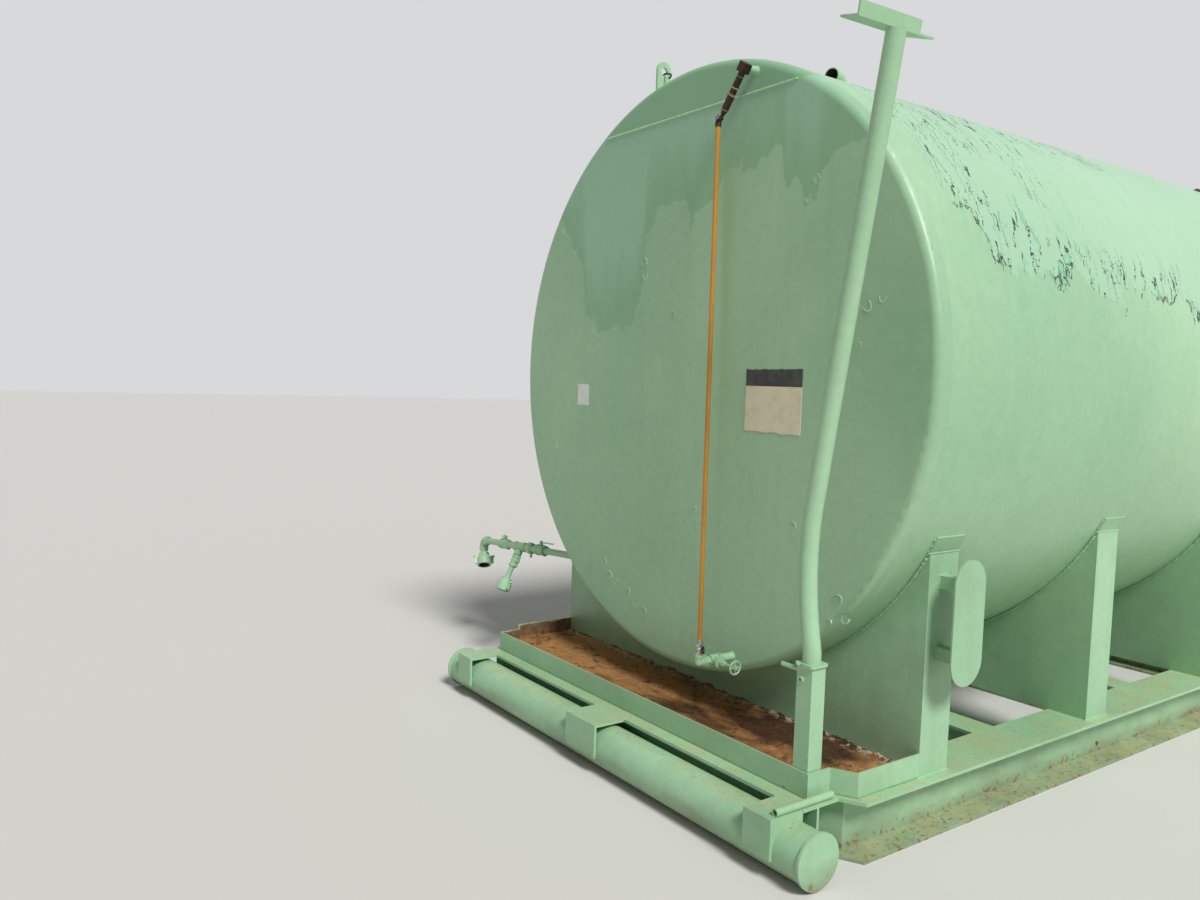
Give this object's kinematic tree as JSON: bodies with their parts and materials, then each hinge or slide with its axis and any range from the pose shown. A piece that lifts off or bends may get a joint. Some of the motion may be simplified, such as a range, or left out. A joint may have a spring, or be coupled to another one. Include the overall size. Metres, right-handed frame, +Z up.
{
  "type": "skid-mounted horizontal storage tank",
  "caption": "Horizontal cylindrical steel tank on a beam skid with saddles, roll pipes, drip tray, hose mast, sight gauge and loading manifold",
  "frame": {"origin": "on the ground, under the middle of the skid", "axes": "+X to the right seen from the gauge end, +Y along the tank away from the gauge end, +Z up"},
  "size_m": [3.0866, 7.014, 2.9639],
  "materials": {
    "tank_paint": "weathered gloss enamel on rolled steel plate",
    "steel_paint": "brushed enamel on rolled steel sections, chipped and rust stained",
    "rusty_plate": "rusted steel plate under dried sediment",
    "dark_fittings": "dark malleable iron fittings",
    "plated_cocks": "plated brass cocks",
    "clear_tube": "clear acrylic sight tube yellowed by sun and fuel"
  },
  "bodies": {
    "tank": {"tank_shell": "tank_paint", "front_head": "tank_paint", "rear_head": "tank_paint", "wear_plates": "steel_paint", "saddle_1": "steel_paint", "saddle_2": "steel_paint", "saddle_3": "steel_paint", "saddle_4": "steel_paint", "saddle_5": "steel_paint", "saddle_6": "steel_paint", "rail_left": "steel_paint", "rail_right": "steel_paint", "front_end_beam": "steel_paint", "rear_end_beam": "steel_paint", "cross_beams": "steel_paint", "roll_pipes": "steel_paint", "roll_brackets": "steel_paint", "tray_floor": "rusty_plate", "tray_rim_front": "steel_paint", "tray_rim_left": "steel_paint", "tray_rim_right": "steel_paint", "mast_socket": "steel_paint", "mast_lock_bar": "steel_paint", "hose_hanger": "steel_paint", "gauge_top_nozzle": "steel_paint", "gauge_top_piping": "dark_fittings", "gauge_tube": "clear_tube", "gauge_bottom_cock": "plated_cocks", "gauge_bottom_elbow": "steel_paint", "gauge_gate_valve": "steel_paint", "lifting_lugs": "steel_paint", "vent_pipe": "steel_paint", "hatch_neck": "steel_paint", "hatch_cover": "dark_fittings", "manifold_pipe": "steel_paint", "manifold_valves": "steel_paint", "manifold_couplings": "steel_paint"},
    "mast": {"mast_pole": "steel_paint", "mast_bar": "steel_paint"},
    "handwheel": {"gauge_handwheel": "steel_paint"},
    "top_cock_handle": {"gauge_top_handle": "plated_cocks"},
    "bottom_cock_lever": {"gauge_bottom_lever": "dark_fittings"},
    "lever_1": {"manifold_lever_1": "steel_paint"},
    "lever_2": {"manifold_lever_2": "steel_paint"},
    "lever_3": {"manifold_lever_3": "steel_paint"}
  },
  "joints": [
    {"name": "mast_swivel", "type": "hinge", "parent": "tank", "child": "mast", "pos_m": [0.953, -3.263, 0.629], "axis": [0, 0, 1], "range_deg": [-90, 60]},
    {"name": "handwheel_turn", "type": "hinge", "parent": "tank", "child": "handwheel", "pos_m": [0.482, -3.1466, 0.47743], "axis": [1, 0, 0], "range_deg": [0, 1440]},
    {"name": "top_cock_turn", "type": "hinge", "parent": "tank", "child": "top_cock_handle", "pos_m": [0.24754, -3.1125, 2.53041], "axis": [0.04, -0.9992, 0], "range_deg": [0, 90]},
    {"name": "bottom_cock_turn", "type": "hinge", "parent": "tank", "child": "bottom_cock_lever", "pos_m": [0.36, -3.218, 0.52943], "axis": [1, 0, 0], "range_deg": [0, 90]},
    {"name": "lever_1_turn", "type": "hinge", "parent": "tank", "child": "lever_1", "pos_m": [-1.20411, -2.948, 0.63014], "axis": [-0.0663, 0, 0.9978], "range_deg": [-90, 0]},
    {"name": "lever_2_turn", "type": "hinge", "parent": "tank", "child": "lever_2", "pos_m": [-1.58327, -2.948, 0.60496], "axis": [-0.0663, 0, 0.9978], "range_deg": [-90, 0]},
    {"name": "lever_3_turn", "type": "hinge", "parent": "tank", "child": "lever_3", "pos_m": [-1.40873, -2.98744, 0.54222], "axis": [0.9978, 0, 0.0663], "range_deg": [0, 90]}
  ]
}
